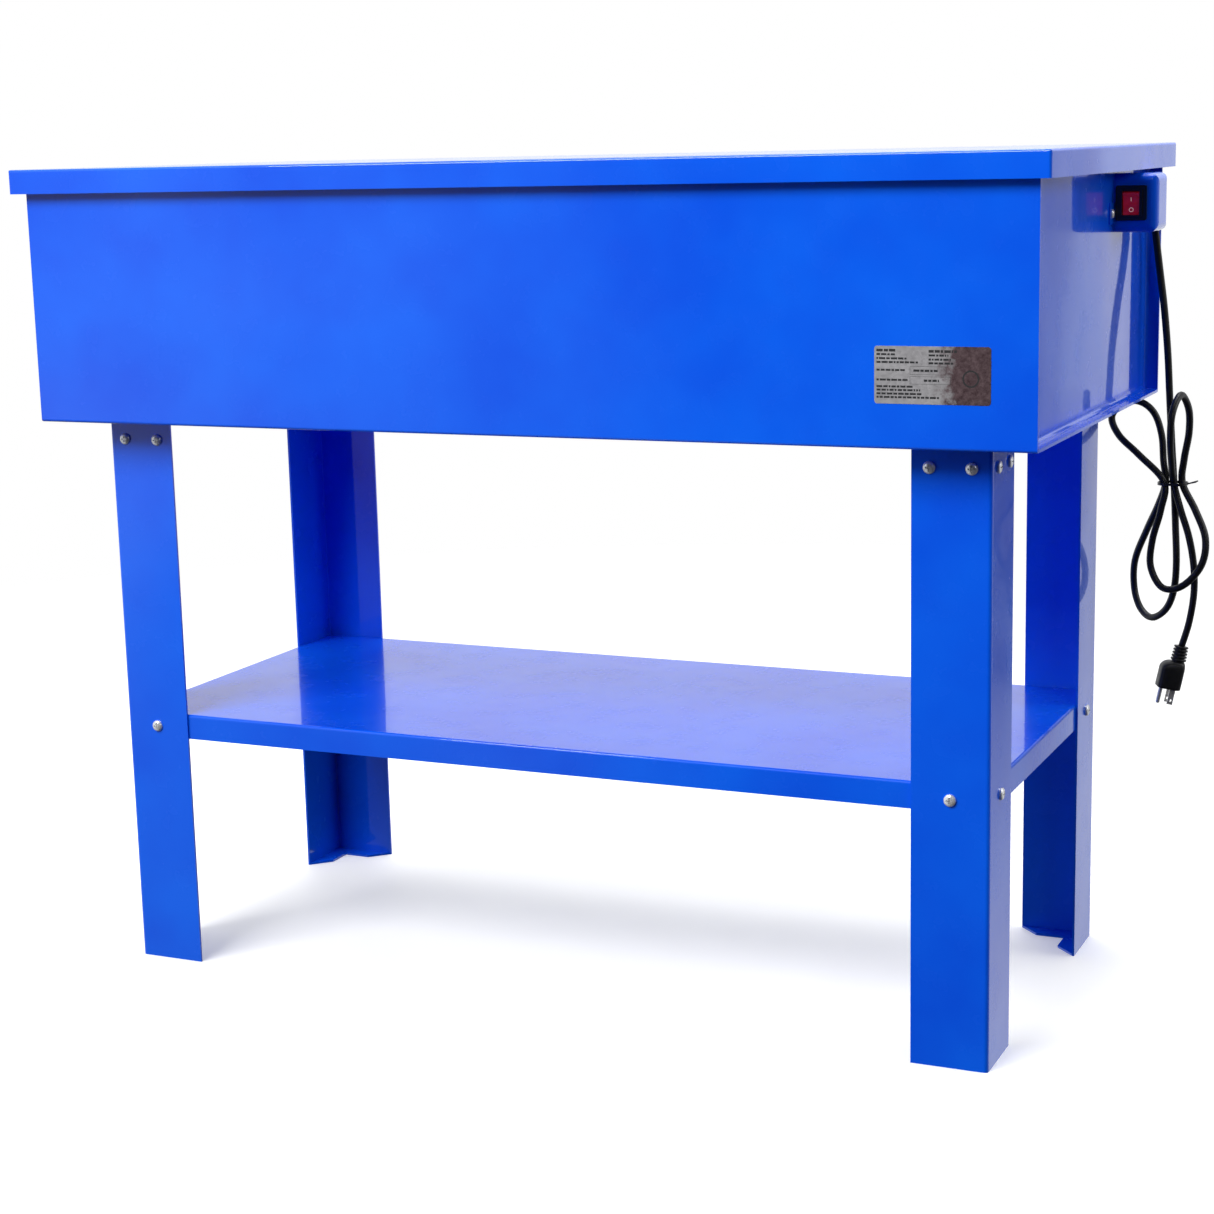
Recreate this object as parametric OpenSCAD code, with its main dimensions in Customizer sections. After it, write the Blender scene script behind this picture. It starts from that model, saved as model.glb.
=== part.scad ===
// Parts washer: sheet-steel tank on four angle legs, with a hinged lid and a lower shelf.
// +Z is up, the front faces -Y, and the origin is on the floor under the middle of the machine.

/* [Tank] */
// Length of the tank over its front panel
tank_l = 1120; // [900:10:1400]
// Depth of the tank from front to back
tank_w = 546; // [470:2:680]
// Height of the tank from its floor to its rim
tank_h = 270; // [225:5:340]
// Thickness of the tank, lid and shelf sheet
sheet_t = 1.5; // [1:0.1:2]
// Set-back of each end panel from the ends of the wrapper
end_inset = 16; // [13:1:24]
// Radius of the folds round an end panel
end_bend = 7; // [4:0.5:10]
// Width of the folded rim
rim_w = 14; // [10:1:20]
// Radius of the ordinary sheet folds
fold_r = 3; // [2.5:0.5:4]

/* [Lid] */
// Overhang of the lid at the front and at the ends
lid_gap = 13; // [10:0.5:20]
// Overhang of the lid at the back
lid_rear = 7; // [5:0.5:9]
// Depth of the lid's skirt
lid_skirt = 26; // [24:1:34]
// Height of the rubber bumpers on the rim
bumper_h = 3; // [2:0.5:5]
// Diameter of a rubber bumper
bumper_d = 11; // [8:0.5:12]
// Angle at which the stay stops the lid
lid_open = 80; // [60:1:85]

/* [Legs and shelf] */
// Height of the tank's floor above the ground
leg_h = 629; // [520:5:760]
// Width of each flange of a leg
leg_w = 80; // [70:1:100]
// Thickness of a leg
leg_t = 2.5; // [2:0.1:3.5]
// Inset of a leg from the end of the tank
leg_x = 55; // [35:1:80]
// Inset of a leg from the front or back of the tank
leg_y = 49; // [35:1:70]
// Width of the tabs bent in at the foot of a leg
foot_w = 22; // [15:1:28]
// Height of the lower shelf's top above the ground
shelf_h = 293; // [200:5:380]
// Depth of the lower shelf's lips
shelf_lip = 28; // [24:1:40]
// Height of the bracket inside the top of a leg
bracket_h = 42; // [36:1:60]

/* [Fasteners] */
// Thread diameter of the leg and shelf screws
screw_d = 6; // [5:0.5:7]
// Head diameter of the leg and shelf screws
head_d = 12.5; // [11:0.5:14]
// Radial clearance of a screw in its hole
screw_gap = 0.3; // [0.2:0.05:0.5]
// Distance of the near screws from a leg's corner
screw_near = 20; // [18:1:24]
// Distance of the far screws from a leg's corner
screw_far = 62; // [50:1:64]
// Distance of the top screws below the tank
screw_drop = 23; // [18:1:26]

/* [Hinges and stay] */
// Distance of each hinge from the middle of the lid
hinge_x = 400; // [300:5:430]
// Length of a hinge
hinge_l = 64; // [50:1:90]
// Diameter of a hinge barrel
barrel_d = 9; // [8:0.5:10]
// Diameter of a hinge pin
pin_d = 5; // [4:0.5:5.5]
// Thickness of a hinge leaf
leaf_t = 2; // [1.5:0.25:2.5]
// Distance of both stay pivots from the hinge line
stay_r = 140; // [120:1:160]
// Width of the stay arm
stay_w = 18; // [16:0.5:22]
// Diameter of the stay's guide stud
stud_d = 6; // [5:0.5:7]

/* [Switch box and cord] */
// How far the switch box stands out from the end panel
box_out = 46; // [40:1:60]
// Depth of the switch box from front to back
box_d = 54; // [50:1:70]
// Height of the switch box
box_h = 61; // [56:1:75]
// Distance of the switch box from the tank's back
box_y = 120; // [100:1:160]
// Radius of the switch box's edges
box_r = 9; // [6:0.5:10]
// Width of the rocker
rocker_w = 17; // [15:0.5:19]
// Height of the rocker
rocker_h = 23; // [21:0.5:24]
// Angle the rocker tilts to either side
rocker_tilt = 8; // [5:0.5:9]
// Diameter of the power cord
cord_d = 8; // [7:0.5:9]

/* [Pump and spout] */
// Width of the pump
pump_w = 86; // [70:1:100]
// Height of the pump
pump_h = 92; // [80:1:110]
// Reach of the spout
spout_reach = 250; // [200:5:260]
// Diameter of the spout's neck
neck_d = 14; // [12:0.5:16]

/* [Work shelf, basket, drain and label] */
// Length of the lift-out work shelf
work_l = 590; // [450:5:600]
// Height of the work shelf's top above the tank's floor
work_h = 150; // [120:5:155]
// Length of the parts basket
basket_l = 230; // [180:5:240]
// Depth of the parts basket from front to back
basket_w = 300; // [240:5:320]
// Height of the parts basket
basket_h = 100; // [80:5:105]
// Diameter of the drain's bore
drain_d = 20; // [15:1:25]
// Width of the rating label
label_w = 112; // [80:1:130]
// Height of the rating label
label_h = 54; // [40:1:70]

/* [Hidden] */

$fn = 48;
BLUE = [0.02, 0.2, 0.85];
ZINC = [0.75, 0.76, 0.78];
BLACK = [0.05, 0.05, 0.05];
STEEL = [0.6, 0.62, 0.65];
BRASS = [0.75, 0.6, 0.3];
RED = [0.6, 0.05, 0.05];

// Small gaps and cutter overruns
eps = 0.01;
over = 1;
run = 0.4;

// Main levels and faces, measured from the middle of the tank
floor_z = leg_h;
rim_z = leg_h + tank_h;
lid_rest = 0.3;
lid_top = rim_z + bumper_h + lid_rest + sheet_t;
skirt_z = lid_top - lid_skirt;
end_x = tank_l / 2 - end_inset;
front_y = -tank_w / 2;
back_y = tank_w / 2;
in_x = end_x - sheet_t;
bed_z = floor_z + sheet_t;

// The lid's hinge line and the stay's two pivots, both stay_r from that line
hinge_y = back_y + lid_rear + run + barrel_d / 2;
hinge_z = skirt_z;
barrel_back = hinge_y + barrel_d / 2;
stay_top_z = lid_top - sheet_t - stay_w / 2 - 4;
stay_top_y = hinge_y - sqrt(pow(stay_r, 2) - pow(stay_top_z - hinge_z, 2));
stay_drop = 51;
stud_z = stay_top_z - stay_drop;
stud_y = hinge_y - sqrt(pow(stay_r, 2) - pow(stud_z - hinge_z, 2));
stay_near = norm([stay_top_y - stud_y, stay_top_z - stud_z]);
stay_far = 2 * stay_r * sin(asin(stay_near / 2 / stay_r) + lid_open / 2);
stay_lean = atan2(stud_y - stay_top_y, stay_top_z - stud_z);
stay_x = in_x - 10;
arm_t = 2;
link_t = 1.5;
link_l = 30;
rivet_d = 4;

// Footprint: the lid's front and left edges, the hinge barrels and the switch box
shift_x = -(end_x + box_out - tank_l / 2 - lid_gap) / 2;
shift_y = -(front_y - lid_gap + barrel_back) / 2;

// Switch box, switch and strain relief
box_x = end_x;
box_back = back_y - box_y;
box_front = box_back - box_d;
box_top = skirt_z - 3.5;
box_bottom = box_top - box_h;
box_mid_z = (box_top + box_bottom) / 2;
tab_l = 20;
tab_screw = 13.5;
tab_h = 22;
tab_z = box_bottom + 9;
bezel_w = 32;
bezel_h = 36;
bezel_t = 3;
bezel_x = box_x + 19;
bezel_z = box_mid_z;
rocker_deep = 5;
body_w = bezel_w - 10;
body_h = bezel_h - 8;
body_l = 24;
gland_x = box_x + 19;
gland_z = box_mid_z + 4;
gland_d = 15;
boot_l = 30;
cord_exit_y = box_back + boot_l;

// Route of the power cord from the strain relief to the plug, from the tank's rear right bottom corner
CORD = [[2, -70, 216], [1, -48, 203], [0, -32, 178], [4, -26, 140], [10, -25, 95], [15, -25, 45],
    [18, -24, -5], [21, -22, -55], [24, -20, -99], [27, -22, -145], [30, -27, -190],
    [27, -24, -222], [17, -16, -245], [-1, -2, -258], [-17, 11, -250], [-26, 19, -228],
    [-25, 16, -195], [-10, 4, -158], [6, -12, -125], [15, -22, -99], [11, -16, -75], [8, -13, -48],
    [0, -13, -24], [-14, -14, -11], [-32, -16, -10], [-47, -19, -26], [-38, -23, -47],
    [-14, -28, -68], [15, -31, -97], [13, -35, -128], [5, -38, -162], [4, -40, -192],
    [18, -42, -215], [40, -42, -212], [60, -40, -188], [63, -36, -158], [50, -29, -128],
    [34, -23, -99], [35, -22, -72], [40, -24, -42], [41, -34, -15], [36, -54, 3], [31, -74, -14],
    [29, -73, -42], [27, -53, -72], [26, -31, -99], [34, -30, -128], [44, -31, -158],
    [50, -31, -190], [51, -31, -222], [46, -29, -256], [38, -27, -284]];
// Middle of the twist tie, how far the plug leans from straight down, and how far it is turned about Z
TIE = [24, -26, -99];
PLUG_TILT = 12;
PLUG_TURN = 24;
CORD_AT = [tank_l / 2, back_y, floor_z];

module place() {
    translate([shift_x, shift_y, 0])
        children();
}

// Local X to +Y, local Y to +Z and local Z to +X
module along_x() {
    rotate([90, 0, 90])
        children();
}

// Local X stays, local Y to +Z and local Z to -Y
module along_y() {
    rotate([90, 0, 0])
        children();
}

// Points of an arc about c
function arc(c, r, a, b, n = 6) = [for (i = [0:n])
    let (v = a + (b - a) * i / n) c + r * [cos(v), sin(v)]];

// Rectangle w by h, centred on X and hanging from y = 0, with its two upper corners rounded by r
function top_round(w, h, r) = concat(
    [[-w / 2, -h]], arc([-w / 2 + r, -r], r, 180, 90), arc([w / 2 - r, -r], r, 90, 0), [[w / 2, -h]]);

// Folded pan: closed on top at z = 0, open below, and skirted all round
module pan_block(l, w, h, r, corner) {
    intersection() {
        translate([0, 0, -h])
            linear_extrude(h)
                round_rect(l, w, corner);
        along_y()
            linear_extrude(w, center = true)
                polygon(top_round(l, h, r));
        along_x()
            linear_extrude(l, center = true)
                polygon(top_round(w, h, r));
    }
}

module pan(l, w, h, t, r) {
    difference() {
        pan_block(l, w, h, r, fold_r);
        translate([0, 0, -t])
            pan_block(l - 2 * t, w - 2 * t, h, r - t, fold_r - t);
    }
}

// Rounded rectangle in the XY plane
module round_rect(w, h, r) {
    union() {
        square([w - 2 * r, h], center = true);
        square([w, h - 2 * r], center = true);
        for (sx = [-1, 1], sy = [-1, 1])
            translate([sx * (w / 2 - r), sy * (h / 2 - r)])
                circle(r);
    }
}

// Sheet strip whose one face follows the path p and whose thickness t lies to the left of it.
// Every fold in it turns left, with the outer radius r.
function unit(v) = v / norm(v);
function left(v) = [-v[1], v[0]];
function fold_c(p, i, r) =
    let (n = left(unit(p[i] - p[i - 1])), m = left(unit(p[i + 1] - p[i]))) p[i] + r * (n + m) / (1 + n * m);
function fold_a(v) = atan2(v[1], v[0]) - 90;
function fold_turn(p, i) = (fold_a(p[i + 1] - p[i]) - fold_a(p[i] - p[i - 1]) + 360) % 360;
function fold_side(p, r, q) = [for (i = [1:len(p) - 2])
    for (a = arc(fold_c(p, i, r), q, fold_a(p[i] - p[i - 1]), fold_a(p[i] - p[i - 1]) + fold_turn(p, i)))
        a];
function reversed(v) = [for (i = [len(v) - 1:-1:0]) v[i]];
function strip(p, t, r) = concat([p[0]], fold_side(p, r, r), [p[len(p) - 1]],
    [p[len(p) - 1] + t * left(unit(p[len(p) - 1] - p[len(p) - 2]))],
    reversed(fold_side(p, r, r - t)), [p[0] + t * left(unit(p[1] - p[0]))]);

// Front, floor and back of the tank folded from one sheet, with the rim turned inwards
module tank_wrapper() {
    rim = [[front_y + rim_w, rim_z], [front_y, rim_z], [front_y, floor_z],
        [back_y, floor_z], [back_y, rim_z], [back_y - rim_w, rim_z]];
    color(BLUE) place()
        difference() {
            along_x()
                linear_extrude(tank_l, center = true)
                    polygon(strip(rim, sheet_t, fold_r));
            translate([drain_x, drain_y, floor_z - over])
                cylinder(d = drain_body + 2 * screw_gap, h = sheet_t + 2 * over);
            each_rivet(tank_rivet_z, back_y + over)
                rotate([90, 0, 0])
                    cylinder(d = rivet_d, h = sheet_t + 2 * over);
        }
}

// End panel: a pan on its side, its flanges turned outwards to the ends of the wrapper
module end_panel() {
    translate([in_x, 0, (bed_z + rim_z - sheet_t) / 2])
        rotate([0, -90, 0])
            pan(tank_h - 2 * sheet_t, tank_w - 2 * sheet_t, end_inset + sheet_t, sheet_t, end_bend);
}

module end_panel_left() {
    color(BLUE) place()
        mirror([1, 0, 0])
            end_panel();
}

module end_panel_right() {
    color(BLUE) place()
        difference() {
            end_panel();
            translate([in_x - over, lead_y, lead_z])
                rotate([0, 90, 0])
                    cylinder(d = grommet_d, h = sheet_t + 2 * over);
            for (y = tab_ys)
                translate([in_x - over, y, box_screw_z])
                    rotate([0, 90, 0])
                        cylinder(d = box_screw_d + 2 * screw_gap, h = sheet_t + 2 * over);
        }
}

// Puts a child at one leg's corner: its X and Y then point to the middle of the tank
module at_leg(sx, sy) {
    translate([sx * (tank_l / 2 - leg_x), sy * (tank_w / 2 - leg_y), 0])
        mirror([sx > 0 ? 1 : 0, 0, 0])
            mirror([0, sy > 0 ? 1 : 0, 0])
                children();
}

// Swaps X and Y, so that what is made for one flange serves the other
module swapped() {
    mirror([1, -1, 0])
        children();
}

module angle_outline(w, t, r) {
    translate([r, 0])
        square([w - r, t]);
    translate([0, r])
        square([t, w - r]);
    intersection() {
        difference() {
            translate([r, r])
                circle(r);
            translate([r, r])
                circle(r - t);
        }
        square(r);
    }
}

// Screw places on one flange: distance from the corner and height
top_screws = [[screw_near, leg_h - screw_drop], [screw_far, leg_h - screw_drop]];
shelf_screw = [[leg_w / 2, shelf_h - shelf_lip / 2 - 1]];

module flange_holes(places, deep) {
    for (p = places)
        translate([p[0], -over, p[1]])
            rotate([-90, 0, 0])
                cylinder(r = screw_d / 2 + screw_gap, h = deep + 2 * over);
}

module foot_tab() {
    linear_extrude(leg_t)
        polygon([[leg_t, leg_t], [leg_w, leg_t], [leg_w - foot_w, leg_t + foot_w],
            [leg_t + foot_w, leg_t + foot_w]]);
}

// Angle leg with its foot tabs bent in and mitred at the corner
module leg(sx, sy) {
    color(BLUE) place()
        at_leg(sx, sy)
            difference() {
                union() {
                    linear_extrude(leg_h)
                        angle_outline(leg_w, leg_t, leg_t + 1.5);
                    foot_tab();
                    swapped()
                        foot_tab();
                }
                flange_holes(concat(top_screws, shelf_screw), leg_t);
                swapped()
                    flange_holes(concat(top_screws, shelf_screw), leg_t);
            }
}

// Angle brackets welded under the tank, one inside the top of each leg
module leg_brackets() {
    color(BLUE) place()
        for (sx = [-1, 1], sy = [-1, 1])
            at_leg(sx, sy)
                translate([leg_t, leg_t, 0])
                    difference() {
                        translate([0, 0, leg_h - bracket_h])
                            linear_extrude(bracket_h)
                                angle_outline(leg_w - leg_t - 2, leg_t, leg_t + 1.5);
                        translate([-leg_t, 0, 0])
                            flange_holes(top_screws, leg_t);
                        swapped()
                            translate([-leg_t, 0, 0])
                                flange_holes(top_screws, leg_t);
                    }
}

// Lower shelf: a pan between the legs, screwed to them through its lips
shelf_l = tank_l - 2 * (leg_x + leg_t);
shelf_w = tank_w - 2 * (leg_y + leg_t);

module lower_shelf() {
    color(BLUE) place()
        difference() {
            translate([0, 0, shelf_h])
                pan(shelf_l, shelf_w, shelf_lip, sheet_t, fold_r);
            for (sx = [-1, 1], sy = [-1, 1])
                at_leg(sx, sy) {
                    flange_holes(shelf_screw, leg_t + sheet_t);
                    swapped()
                        flange_holes(shelf_screw, leg_t + sheet_t);
                }
        }
}

// Cross-recessed pan head, its seat at z = 0 and its shank down to -shank
module pan_screw(d, head, tall, shank) {
    difference() {
        union() {
            rotate_extrude()
                polygon(concat([[0, 0], [head / 2, 0], [head / 2, tall * 0.35]],
                    [for (a = [15:15:90]) [head / 2 * cos(a), tall * (0.35 + 0.65 * sin(a))]]));
            translate([0, 0, -shank])
                cylinder(d = d, h = shank + eps);
        }
        for (a = [0, 90])
            rotate(a)
                translate([-head * 0.28, -head * 0.05, tall * 0.45])
                    cube([head * 0.56, head * 0.1, tall]);
    }
}

module hex_nut(d, across, tall) {
    difference() {
        cylinder(d = across / cos(30), h = tall, $fn = 6);
        translate([0, 0, -over])
            cylinder(d = d, h = tall + 2 * over);
    }
}

nut_across = screw_d * 1.67;
nut_t = screw_d * 0.8;
nut_fit = 0.05;
head_h = screw_d * 0.65;

// Screws through one flange: the head outside, the shank through the leg and what is inside it
module flange_screws(places, grip) {
    for (p = places)
        translate([p[0], 0, p[1]])
            rotate([90, 0, 0])
                pan_screw(screw_d, head_d, head_h, grip + nut_t + 2);
}

module flange_nuts(places, grip) {
    for (p = places)
        translate([p[0], grip, p[1]])
            rotate([-90, 0, 0])
                hex_nut(screw_d + 2 * nut_fit, nut_across, nut_t);
}

module each_flange() {
    for (sx = [-1, 1], sy = [-1, 1])
        at_leg(sx, sy) {
            children();
            swapped()
                children();
        }
}

// The leg and the bracket, or the leg and the shelf's lip, are clamped together
top_grip = 2 * leg_t;
shelf_grip = leg_t + sheet_t;

module leg_screws() {
    color(ZINC) place()
        each_flange()
            flange_screws(top_screws, top_grip);
}

module leg_nuts() {
    color(ZINC) place()
        each_flange()
            flange_nuts(top_screws, top_grip);
}

module shelf_screws() {
    color(ZINC) place()
        each_flange()
            flange_screws(shelf_screw, shelf_grip);
}

module shelf_nuts() {
    color(ZINC) place()
        each_flange()
            flange_nuts(shelf_screw, shelf_grip);
}

// Lid: a pan that hangs over the tank all round
lid_l = tank_l + 2 * lid_gap;
lid_w = tank_w + lid_gap + lid_rear;
lid_y = (lid_rear - lid_gap) / 2;

module lid() {
    color(BLUE) place()
        difference() {
            translate([0, lid_y, lid_top])
                pan(lid_l, lid_w, lid_skirt, sheet_t, fold_r);
            lid_rivet_cuts();
        }
}

module lid_bumpers() {
    color(BLACK) place()
        for (sx = [-1, 1], sy = [-1, 1])
            translate([sx * (tank_l / 2 - 80), sy * (tank_w / 2 - rim_w / 2), rim_z])
                cylinder(d = bumper_d, h = bumper_h);
}

// Hinges: two outer knuckles on the tank's leaf and one between them on the lid's leaf
knuckle = hinge_l / 3;
leaf_h = 22;
rivet_x = [-hinge_l / 3, hinge_l / 3];
lid_rivet_z = hinge_z + 14;
tank_rivet_z = hinge_z - 24;

module barrel(l) {
    rotate([0, 90, 0])
        difference() {
            cylinder(d = barrel_d, h = l, center = true);
            cylinder(d = pin_d + 2 * nut_fit, h = l + 2 * over, center = true);
        }
}

// Leaf section in Y and Z, cranked from the back of the tank out to the barrel
crank = [[back_y, hinge_z - 34], [back_y + leaf_t, hinge_z - 34], [back_y + leaf_t, hinge_z - 14],
    [hinge_y - barrel_d / 2 + leaf_t, hinge_z - 9], [hinge_y - barrel_d / 2 + leaf_t, hinge_z],
    [hinge_y - barrel_d / 2, hinge_z], [hinge_y - barrel_d / 2, hinge_z - 8],
    [back_y, hinge_z - 12]];

module pin_bore() {
    translate([0, hinge_y, hinge_z])
        rotate([0, 90, 0])
            cylinder(d = pin_d + 2 * nut_fit, h = hinge_l + 2 * over, center = true);
}

module tank_leaf(sx) {
    color(ZINC) place()
        translate([sx * hinge_x, 0, 0])
            difference() {
                union() {
                    along_x()
                        linear_extrude(hinge_l, center = true)
                            polygon(crank);
                    for (s = [-1, 1])
                        translate([s * knuckle, hinge_y, hinge_z])
                            rotate([0, 90, 0])
                                cylinder(d = barrel_d, h = knuckle, center = true);
                }
                translate([-knuckle / 2 - run, hinge_y - barrel_d, hinge_z - barrel_d / 2 - run])
                    cube([knuckle + 2 * run, 2 * barrel_d, barrel_d]);
                pin_bore();
                for (x = rivet_x)
                    translate([x, back_y - over, tank_rivet_z])
                        rotate([-90, 0, 0])
                            cylinder(d = rivet_d, h = leaf_t + 2 * over);
            }
}

module lid_leaf(sx) {
    color(ZINC) place()
        translate([sx * hinge_x, 0, 0])
            difference() {
                union() {
                    translate([-hinge_l / 2, back_y + lid_rear, hinge_z + barrel_d / 2 + run])
                        cube([hinge_l, leaf_t, leaf_h - barrel_d / 2 - run]);
                    translate([-knuckle / 2 + run, back_y + lid_rear, hinge_z])
                        cube([knuckle - 2 * run, leaf_t, leaf_h]);
                    translate([0, hinge_y, hinge_z])
                        rotate([0, 90, 0])
                            cylinder(d = barrel_d, h = knuckle - 2 * run, center = true);
                }
                pin_bore();
                for (x = rivet_x)
                    translate([x, back_y + lid_rear - over, lid_rivet_z])
                        rotate([-90, 0, 0])
                            cylinder(d = rivet_d, h = leaf_t + 2 * over);
            }
}

module hinge_pin(sx) {
    color(ZINC) place()
        translate([sx * hinge_x, hinge_y, hinge_z])
            rotate([0, 90, 0]) {
                cylinder(d = pin_d, h = hinge_l + 2, center = true);
                for (s = [-1, 1])
                    translate([0, 0, s * (hinge_l / 2 + 1)])
                        cylinder(d = pin_d + 2, h = 1.6, center = true);
            }
}

module hinge_left_tank_leaf() {
    tank_leaf(-1);
}

module hinge_left_lid_leaf() {
    lid_leaf(-1);
}

module hinge_left_pin() {
    hinge_pin(-1);
}

module hinge_right_tank_leaf() {
    tank_leaf(1);
}

module hinge_right_lid_leaf() {
    lid_leaf(1);
}

module hinge_right_pin() {
    hinge_pin(1);
}

// Rivet along +Y: domed head at y = 0, shank back to -grip and a flat tail behind it
module rivet(grip) {
    rotate([-90, 0, 0]) {
        rotate_extrude()
            polygon(concat([[0, 0], [rivet_d, 0]], [for (a = [15:15:90]) [rivet_d * cos(a), 1.8 * sin(a)]]));
        translate([0, 0, -grip - eps])
            cylinder(d = rivet_d, h = grip + 2 * eps);
        translate([0, 0, -grip - 1])
            cylinder(d = rivet_d + 2, h = 1);
    }
}

module each_rivet(z, y) {
    for (sx = [-1, 1], x = rivet_x)
        translate([sx * hinge_x + x, y, z])
            children();
}

module lid_rivet_cuts() {
    each_rivet(lid_rivet_z, back_y + lid_rear + over)
        rotate([90, 0, 0])
            cylinder(d = rivet_d, h = sheet_t + 2 * over);
}

module hinge_tank_rivets() {
    color(ZINC) place()
        each_rivet(tank_rivet_z, back_y + leaf_t)
            rivet(leaf_t + sheet_t);
}

module hinge_lid_rivets() {
    color(ZINC) place()
        each_rivet(lid_rivet_z, back_y + lid_rear + leaf_t)
            rivet(leaf_t + sheet_t);
}

// Lid stay: a slotted arm that hangs from the lid and slides over a stud on the end panel
ear_x = stay_x + arm_t + link_t + 0.8;
ear_t = 2;
pivot_d = 5;
bracket_l = 40;
under_lid = lid_top - sheet_t;

module stay_bracket() {
    color(BLUE) place()
        difference() {
            union() {
                translate([ear_x, stay_top_y - stay_w / 2, stay_top_z - stay_w / 2 + 2])
                    cube([ear_t, stay_w, under_lid - stay_top_z + stay_w / 2 - 2]);
                translate([ear_x - 18, stay_top_y - bracket_l / 2, under_lid - ear_t])
                    cube([18 + ear_t, bracket_l, ear_t]);
            }
            translate([ear_x - over, stay_top_y, stay_top_z])
                rotate([0, 90, 0])
                    cylinder(d = pivot_d, h = ear_t + 2 * over);
        }
}

module stay_pivot_pin() {
    color(ZINC) place()
        translate([0, stay_top_y, stay_top_z])
            rotate([0, 90, 0]) {
                translate([0, 0, stay_x + arm_t - run])
                    cylinder(d = pivot_d, h = ear_x + ear_t - stay_x - arm_t + run);
                translate([0, 0, stay_x + arm_t - run - 2])
                    cylinder(d = pivot_d + 4, h = 2);
                translate([0, 0, ear_x + ear_t])
                    cylinder(d = pivot_d + 4, h = 1.2);
            }
}

// Puts a child at the stay's upper pivot, its -Z along the arm and its X across the machine
module at_stay() {
    translate([stay_x, stay_top_y, stay_top_z])
        rotate([stay_lean, 0, 0])
            children();
}

link_rivet_z = -link_l + 6;

// Flat bar of width w between two distances below the pivot, with round ends, facing X
module bar(w, t, z0, z1) {
    rotate([0, 90, 0])
        linear_extrude(t) {
            translate([-z0, -w / 2])
                square([z0 - z1, w]);
            for (z = [z0, z1])
                translate([-z, 0])
                    circle(d = w);
        }
}

module fusible_link() {
    color(BRASS) place()
        at_stay()
            difference() {
                translate([arm_t, 0, 0])
                    bar(stay_w - 2, link_t, 0, link_rivet_z);
                rotate([0, 90, 0])
                    cylinder(d = pivot_d + 2 * nut_fit, h = 2 * arm_t + link_t + over);
                translate([0, 0, link_rivet_z])
                    rotate([0, 90, 0])
                        cylinder(d = rivet_d, h = 2 * arm_t + link_t + over);
            }
}

module link_rivets() {
    color(ZINC) place()
        at_stay()
            translate([0, 0, link_rivet_z])
                rotate([0, 90, 0]) {
                    cylinder(d = rivet_d, h = arm_t + link_t);
                    translate([0, 0, arm_t + link_t])
                        cylinder(d = rivet_d + 2, h = 0.6);
                    translate([0, 0, -1.2])
                        cylinder(d = rivet_d + 3, h = 1.2);
                }
}

// The arm starts at the link's rivet, and its slot runs over the whole travel of the stud
module stay_arm() {
    color(ZINC) place()
        at_stay()
            difference() {
                bar(stay_w, arm_t, link_rivet_z + 1, -stay_far - 3);
                translate([-over, 0, 0])
                    bar(stud_d + 2 * run, arm_t + 2 * over, -stay_near, -stay_far);
                translate([-over, 0, link_rivet_z])
                    rotate([0, 90, 0])
                        cylinder(d = rivet_d, h = arm_t + 2 * over);
            }
}

// Headed stud welded to the inside of the right end panel
module stay_guide_stud() {
    color(ZINC) place()
        translate([0, stud_y, stud_z])
            rotate([0, 90, 0]) {
                translate([0, 0, stay_x - 3])
                    cylinder(d = stud_d + 6, h = 2);
                translate([0, 0, stay_x - 3])
                    cylinder(d = stud_d, h = in_x - stay_x + 3);
                translate([0, 0, stay_x + arm_t + 1])
                    cylinder(d = stud_d + 4, h = in_x - stay_x - arm_t - 1);
            }
}

// Switch box
box_screw_d = 4;
box_head_d = 9;
box_head_h = 3.2;
box_screw_z = tab_z + tab_h / 2;
tab_ys = [box_front - tab_screw, box_back + tab_screw];

// Rounded block of the box, drawn in by g on every side but the panel's and deep from its outer face
module box_block(g, deep) {
    translate([box_x + box_out - g, box_front + box_d / 2, box_mid_z])
        intersection() {
            along_x()
                along_x()
                    linear_extrude(box_d - 2 * g, center = true)
                        polygon(top_round(box_h - 2 * g, deep, box_r - g));
            swapped()
                linear_extrude(box_h - 2 * g, center = true)
                    polygon(top_round(box_d - 2 * g, deep, box_r - g));
            translate([-deep, 0, 0])
                along_x()
                    linear_extrude(deep)
                        round_rect(box_d - 2 * g, box_h - 2 * g, box_r - g);
        }
}

module switch_box() {
    color(BLUE) place()
        difference() {
            union() {
                box_block(0, box_out);
                for (s = [0, 1])
                    translate([box_x, s > 0 ? box_back - box_r : box_front - tab_l, tab_z])
                        cube([sheet_t, tab_l + box_r, tab_h]);
            }
            box_block(sheet_t, box_out);
            translate([bezel_x - body_w / 2 - run, box_front - over, bezel_z - body_h / 2 - run])
                cube([body_w + 2 * run, sheet_t + 3 * over, body_h + 2 * run]);
            translate([gland_x, box_back - sheet_t - over, gland_z])
                rotate([-90, 0, 0])
                    cylinder(d = gland_d + 2 * screw_gap, h = sheet_t + 3 * over);
            for (y = tab_ys)
                translate([box_x - over, y, box_screw_z])
                    rotate([0, 90, 0])
                        cylinder(d = box_screw_d + 2 * screw_gap, h = sheet_t + 2 * over);
        }
}

module box_screws() {
    color(ZINC) place()
        for (y = tab_ys)
            translate([box_x + sheet_t, y, box_screw_z])
                rotate([0, 90, 0])
                    pan_screw(box_screw_d, box_head_d, box_head_h, 2 * sheet_t + 2.5);
}

// Rectangle frame standing in XZ, its back face at y and its front face t before it
module face_frame(w, h, hole_w, hole_h, y, t, r) {
    translate([bezel_x, y, bezel_z])
        rotate([90, 0, 0])
            linear_extrude(t)
                difference() {
                    round_rect(w, h, r);
                    square([hole_w, hole_h], center = true);
                }
}

slot_w = rocker_w + 2 * run;
slot_h = rocker_h + 2;

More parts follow.
